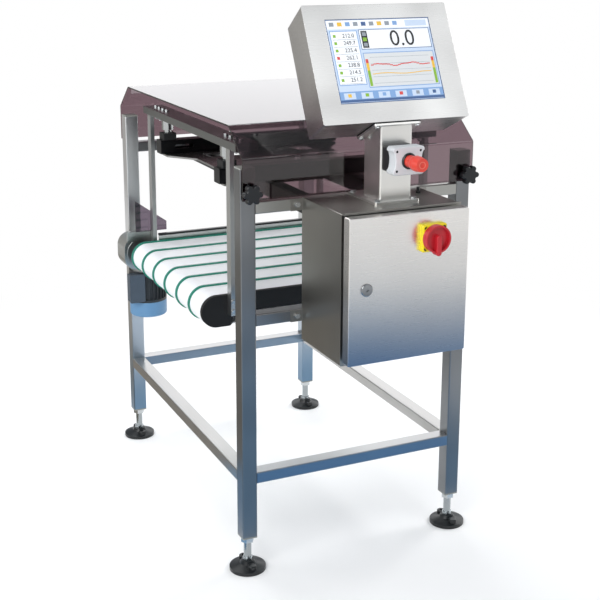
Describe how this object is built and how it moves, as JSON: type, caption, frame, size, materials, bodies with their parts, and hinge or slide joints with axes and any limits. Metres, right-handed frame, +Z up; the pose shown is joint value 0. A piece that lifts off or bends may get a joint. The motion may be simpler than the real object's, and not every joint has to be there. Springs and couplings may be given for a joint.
{
  "type": "checkweigher",
  "caption": "In-line checkweigher: short belt conveyor hung from a load cell in a square-tube frame under a bent clear hood, with cabinet and tilted operator terminal.",
  "frame": {"origin": "on the floor, midway between the four levelling feet", "axes": "+X along the belt travel, +Y from the operator side to the back, +Z up"},
  "size_m": [0.726, 1.2853, 1.4297],
  "materials": {
    "frame_steel": "brushed stainless tube",
    "black_plastic": "moulded, satin",
    "hood_sheet": "clear bent sheet",
    "black_side_plate": "machined plate",
    "bed_steel": "folded sheet",
    "drum_steel": "turned",
    "belt_white": "smooth conveyor belt",
    "rib_teal": "moulded",
    "guard_sheet": "thin sheet",
    "gearbox_aluminium": "cast and painted silver",
    "motor_grey": "dark paint",
    "fan_cover_grey": "pressed sheet",
    "bar_aluminium": "milled",
    "post_aluminium": "anodised",
    "black_rubber": "moulded",
    "cabinet_steel": "fine ground sheet",
    "fastener_steel": "bright",
    "device_grey": "moulded",
    "safety_yellow": "moulded",
    "safety_red": "moulded",
    "light_grey_plastic": "moulded",
    "collar_steel": "turned",
    "screen_glass": "lit panel"
  },
  "bodies": {
    "frame": {"leg_front_left": "frame_steel", "leg_front_right": "frame_steel", "leg_back_left": "frame_steel", "leg_back_right": "frame_steel", "lower_rails_long": "frame_steel", "lower_rails_side": "frame_steel", "middle_rail": "frame_steel", "upper_rail_front": "frame_steel", "upper_rail_back": "frame_steel", "load_cell_beams": "frame_steel", "weigh_tubes": "frame_steel", "carrier_plate": "frame_steel", "leg_plugs": "black_plastic", "terminal_box": "black_plastic", "estop_base": "black_plastic", "cable_glands": "black_plastic", "side_plate_front": "black_side_plate", "side_plate_back": "black_side_plate", "slider_bed": "bed_steel", "mounting_plate": "bed_steel", "hmi_rear_cover": "bed_steel", "drum_bearings": "drum_steel", "belt": "belt_white", "belt_ribs": "rib_teal", "belt_guards": "guard_sheet", "gearbox": "gearbox_aluminium", "gearbox_flange": "gearbox_aluminium", "motor": "motor_grey", "fan_cover": "fan_cover_grey", "crossbars": "bar_aluminium", "load_cell": "bar_aluminium", "hanger_posts": "post_aluminium", "standoffs": "post_aluminium", "buffer_pads": "black_rubber", "gaskets": "black_rubber", "cabinet_body": "cabinet_steel", "pedestal": "cabinet_steel", "hmi_housing": "cabinet_steel", "hex_bolts": "fastener_steel", "door_hinges": "fastener_steel", "control_gear": "device_grey", "estop_cover": "light_grey_plastic", "estop_collar": "collar_steel", "hmi_screen": "screen_glass"},
    "hood": {"hood": "hood_sheet"},
    "knob_left": {"hood_knob_left": "black_plastic"},
    "knob_right": {"hood_knob_right": "black_plastic"},
    "drive": {"drive_drum": "drum_steel"},
    "tail": {"tail_drum": "drum_steel"},
    "rotor": {"motor_fan": "fan_cover_grey"},
    "door": {"cabinet_door": "cabinet_steel", "isolator_plate": "safety_yellow"},
    "lock": {"door_lock": "fastener_steel"},
    "isolator": {"isolator_handle": "safety_red"},
    "stop_stem": {"estop_stem": "collar_steel"},
    "stop_head": {"estop_head": "safety_red"},
    "foot_front_left": {"foot_front_left": "black_plastic"},
    "foot_front_right": {"foot_front_right": "black_plastic"},
    "foot_back_left": {"foot_back_left": "black_plastic"},
    "foot_back_right": {"foot_back_right": "black_plastic"}
  },
  "joints": [
    {"name": "foot_front_left_height", "type": "slide", "parent": "frame", "child": "foot_front_left", "axis": [0, 0, 1], "range_m": [-0.03, 0.03]},
    {"name": "foot_front_right_height", "type": "slide", "parent": "frame", "child": "foot_front_right", "axis": [0, 0, 1], "range_m": [-0.03, 0.03]},
    {"name": "foot_back_left_height", "type": "slide", "parent": "frame", "child": "foot_back_left", "axis": [0, 0, 1], "range_m": [-0.03, 0.03]},
    {"name": "foot_back_right_height", "type": "slide", "parent": "frame", "child": "foot_back_right", "axis": [0, 0, 1], "range_m": [-0.03, 0.03]},
    {"name": "hood_lift", "type": "slide", "parent": "frame", "child": "hood", "axis": [0, 0, 1], "range_m": [0, 0.09]},
    {"name": "knob_left_turn", "type": "hinge", "parent": "frame", "child": "knob_left", "pos_m": [-0.3, -0.4945, 0.995], "axis": [0, -1, 0], "continuous": true},
    {"name": "knob_right_turn", "type": "hinge", "parent": "frame", "child": "knob_right", "pos_m": [0.3, -0.4945, 0.995], "axis": [0, -1, 0], "continuous": true},
    {"name": "drive_spin", "type": "hinge", "parent": "frame", "child": "drive", "pos_m": [-0.314, 0, 0.648], "axis": [0, 1, 0], "continuous": true},
    {"name": "tail_spin", "type": "hinge", "parent": "frame", "child": "tail", "pos_m": [0.314, 0, 0.648], "axis": [0, 1, 0], "continuous": true},
    {"name": "rotor_spin", "type": "hinge", "parent": "frame", "child": "rotor", "pos_m": [-0.284, 0.378, 0.46], "axis": [0, 0, 1], "continuous": true},
    {"name": "door_swing", "type": "hinge", "parent": "frame", "child": "door", "pos_m": [0.152, -0.7035, 0.7945], "axis": [0, 0, 1], "range_deg": [0, 90]},
    {"name": "lock_turn", "type": "hinge", "parent": "door", "child": "lock", "pos_m": [-0.112, -0.737, 0.8], "axis": [0, 1, 0], "range_deg": [0, 90]},
    {"name": "isolator_turn", "type": "hinge", "parent": "door", "child": "isolator", "pos_m": [0.057, -0.752, 0.909], "axis": [0, -1, 0], "range_deg": [0, 90]},
    {"name": "stop_push", "type": "slide", "parent": "frame", "child": "stop_stem", "axis": [0, 1, 0], "range_m": [0, 0.005]},
    {"name": "stop_twist", "type": "hinge", "parent": "stop_stem", "child": "stop_head", "pos_m": [0.016, -0.72, 1.083], "axis": [0, 1, 0], "range_deg": [0, 30], "stiffness_Nm_per_rad": 0.1}
  ],
  "couplings": [
    {"joint": "tail_spin", "follows": "drive_spin", "ratio": 1},
    {"joint": "rotor_spin", "follows": "drive_spin", "ratio": 10}
  ]
}
